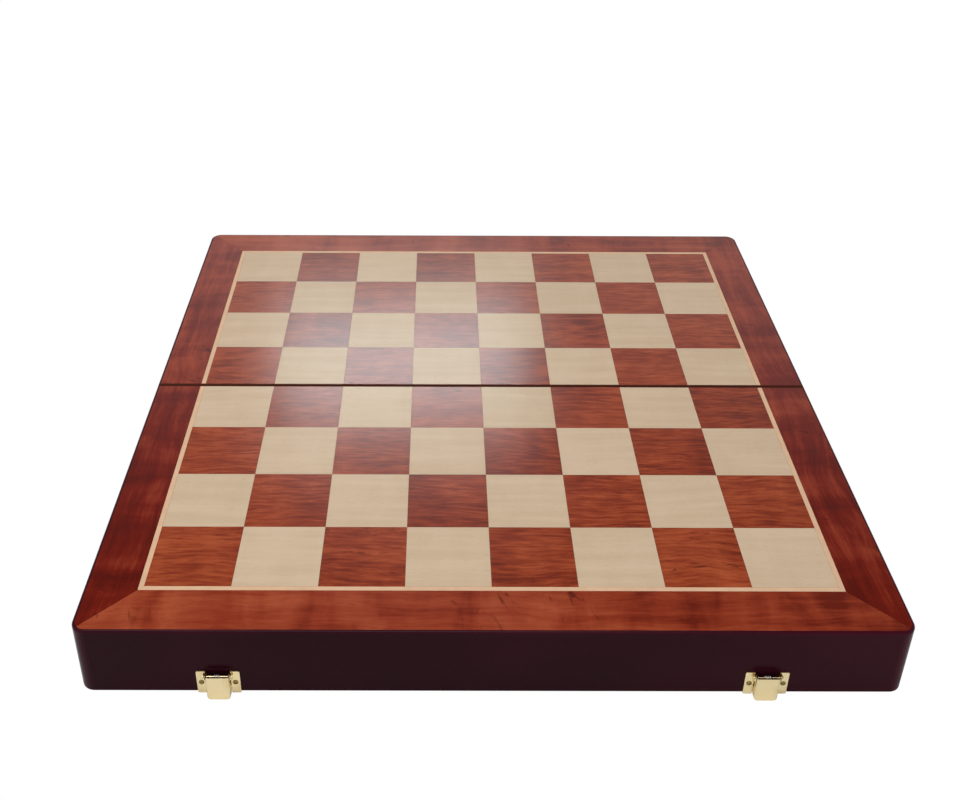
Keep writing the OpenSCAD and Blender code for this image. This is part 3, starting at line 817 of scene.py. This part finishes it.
class CHESSBOX_OT_springs(bpy.types.Operator):
    """Wind a steel spring on each catch pin"""

    bl_idname = "chessbox.springs"
    bl_label = "Springs"

    LEG_STEPS, TURN_STEPS, WIRE_SIDES = 6, 28, 12

    def execute(self, context):
        looks = context.scene.chess_hardware
        recipe = self.recipe()
        for side in ("left", "right"):
            node = f"catch_{side}_spring"
            low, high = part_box(node)
            pin = sum(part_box(f"catch_{side}_pin"), Vector()) / 2
            wound = high.x - low.x - 2 * looks.wire
            steps = self.LEG_STEPS + round(looks.turns * self.TURN_STEPS)
            seeds = seed_points(node + "_path", [(0, 0, 0)])
            piece = recipe.grow(f"{side}_spring", seeds, smooth_below=60, Points=steps + 1,
                                Start=(low.x + looks.wire, pin.y, pin.z), Wire_Radius=looks.wire,
                                Coil_Radius=looks.coil, Pitch=wound / looks.turns,
                                Leg=pin.z - low.z - looks.wire,
                                Lean=high.y - looks.wire - pin.y - looks.coil,
                                Material=bpy.data.materials["steel"])
            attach(piece, "near_half")
            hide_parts(node)
        return {"FINISHED"}

    def recipe(self):
        r = Recipe("Wound spring")
        (_, points, start, wire_r, coil_r, pitch, leg, lean, material) = r.inputs(
            Points="Int", Start="Vector", Wire_Radius="Float", Coil_Radius="Float", Pitch="Float",
            Leg="Float", Lean="Float", Material="Material")
        step = r.node("GeometryNodeInputIndex")
        turn = (step - self.LEG_STEPS).math("MAXIMUM", 0) / self.TURN_STEPS
        left = 1 - step.math("MINIMUM", self.LEG_STEPS) / self.LEG_STEPS
        angle = turn * math.tau
        x0, y0, z0 = r.parts(start)
        place = r.vector(x0 + turn * pitch,
                         y0 + coil_r * angle.math("COSINE") + left * lean,
                         z0 + coil_r * angle.math("SINE") - left * leg)
        line = r.node("GeometryNodeMeshLine", {}, {"Count": points})
        path = r.node("GeometryNodeSetPosition", {}, {"Geometry": line, "Position": place})
        curve = r.node("GeometryNodeMeshToCurve", {}, {"Mesh": path})
        section = r.node("GeometryNodeCurvePrimitiveCircle", {},
                         {"Resolution": self.WIRE_SIDES, "Radius": wire_r})
        wire = r.node("GeometryNodeCurveToMesh", {},
                      {"Curve": curve, "Profile Curve": section, "Fill Caps": True})
        return r.finish(wire, material)


class CHESSBOX_OT_inserts(bpy.types.Operator):
    """Lay a felted insert with rounded dividers into each half"""

    bl_idname = "chessbox.inserts"
    bl_label = "Felt inserts"

    FILLET_STEPS = 6

    def execute(self, context):
        looks = context.scene.chess_felt
        cloth = felt("felt", *tones(looks, "felt", "felt_tips"))
        recipe = self.recipe()
        for half in ("near", "far"):
            nodes = [f"{half}_{kind}" for kind in ("lining", "long_divider", "cross_dividers")]
            for node in nodes:
                show(node, cloth)
            floor_low, floor_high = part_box(nodes[0])
            long_low, long_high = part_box(nodes[1])
            middle = (long_low + long_high) / 2
            size = long_high - long_low
            floor_size = floor_high - floor_low
            into_long = 0.4 * size.y  # how far the short dividers reach into the long one, in all
            places, spans, turns = [middle], [floor_size.x], [0.0]
            for x in centres(nodes[2], CROSS_DIVIDERS):
                for y0, y1 in ((floor_low.y, long_low.y), (long_high.y, floor_high.y)):
                    places.append((x, (y0 + y1) / 2, middle.z))
                    spans.append(y1 - y0 + into_long)
                    turns.append(math.pi / 2)
            seeds = seed_points(f"{half}_divider_places", places, span=spans, turned=turns)
            # The dividers go on through the floor, which hides their other rounded edges.
            piece = recipe.grow(f"{half}_felt_insert", seeds, smooth_below=50,
                                Thickness=size.y, Height=size.z + floor_size.z,
                                Rounding=looks.rounding, Raise=floor_size.z / 2,
                                Floor_Centre=(floor_low + floor_high) / 2,
                                Floor_Size=floor_size, Material=cloth)
            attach(piece, f"{half}_half")
            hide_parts(*nodes)
        return {"FINISHED"}

    def recipe(self):
        r = Recipe("Divided insert")
        (points, thick, high, rounding, lift, centre, size, material) = r.inputs(
            Thickness="Float", Height="Float", Rounding="Float", Raise="Float",
            Floor_Centre="Vector", Floor_Size="Vector", Material="Material")
        outline = r.node("GeometryNodeCurvePrimitiveQuadrilateral", {"mode": "RECTANGLE"},
                         {"Width": thick, "Height": high})
        rounded = r.node("GeometryNodeFilletCurve", {"mode": "POLY"},
                         {"Curve": outline, "Count": self.FILLET_STEPS, "Radius": rounding})
        line = r.node("GeometryNodeCurvePrimitiveLine", {},
                      {"Start": (-0.5, 0, 0), "End": (0.5, 0, 0)})
        strip = r.node("GeometryNodeCurveToMesh", {},
                       {"Curve": line, "Profile Curve": rounded, "Fill Caps": True})
        dividers = r.on_points(points, strip, Rotation=r.spin(r.stored("turned")),
                               Scale=r.vector(r.stored("span"), 1.0, 1.0))
        dividers = r.moved(dividers, Translation=r.vector(0.0, 0.0, lift))
        floor = r.moved(r.node("GeometryNodeMeshCube", {}, {"Size": size}), Translation=centre)
        both = r.node("GeometryNodeJoinGeometry", {}, {0: [dividers, floor]})
        return r.finish(both, material)


class CHESSBOX_PT_panel(bpy.types.Panel):
    """Lists the steps that dress the box"""

    bl_idname = "CHESSBOX_PT_panel"
    bl_label = "Chess Box"
    bl_space_type = "VIEW_3D"
    bl_region_type = "UI"
    bl_category = "Chess Box"

    def draw(self, context):
        for step in STEPS:
            self.layout.operator(step.bl_idname)
        for name, kind in SETTINGS.items():
            box = self.layout.box()
            box.label(text=kind.__doc__)
            for key in kind.__annotations__:
                box.prop(getattr(context.scene, name), key)


SETTINGS = {"chess_studio": StudioProps, "chess_lacquer": LacquerProps, "chess_veneer": VeneerProps,
            "chess_hardware": HardwareProps, "chess_felt": FeltProps}
STEPS = (CHESSBOX_OT_studio, CHESSBOX_OT_carcase, CHESSBOX_OT_inlay, CHESSBOX_OT_metalwork,
         CHESSBOX_OT_screws, CHESSBOX_OT_springs, CHESSBOX_OT_inserts)


def register():
    for kind in (*SETTINGS.values(), *STEPS, CHESSBOX_PT_panel):
        bpy.utils.register_class(kind)
    for name, kind in SETTINGS.items():
        setattr(bpy.types.Scene, name, PointerProperty(type=kind))


def unregister():
    for name in SETTINGS:
        delattr(bpy.types.Scene, name)
    for kind in reversed((*SETTINGS.values(), *STEPS, CHESSBOX_PT_panel)):
        bpy.utils.unregister_class(kind)


def main():
    """Dresses the packed box, one operator after the other."""
    register()
    for step in STEPS:
        group, name = step.bl_idname.split(".")
        getattr(getattr(bpy.ops, group), name)()


if __name__ == "__main__":
    main()
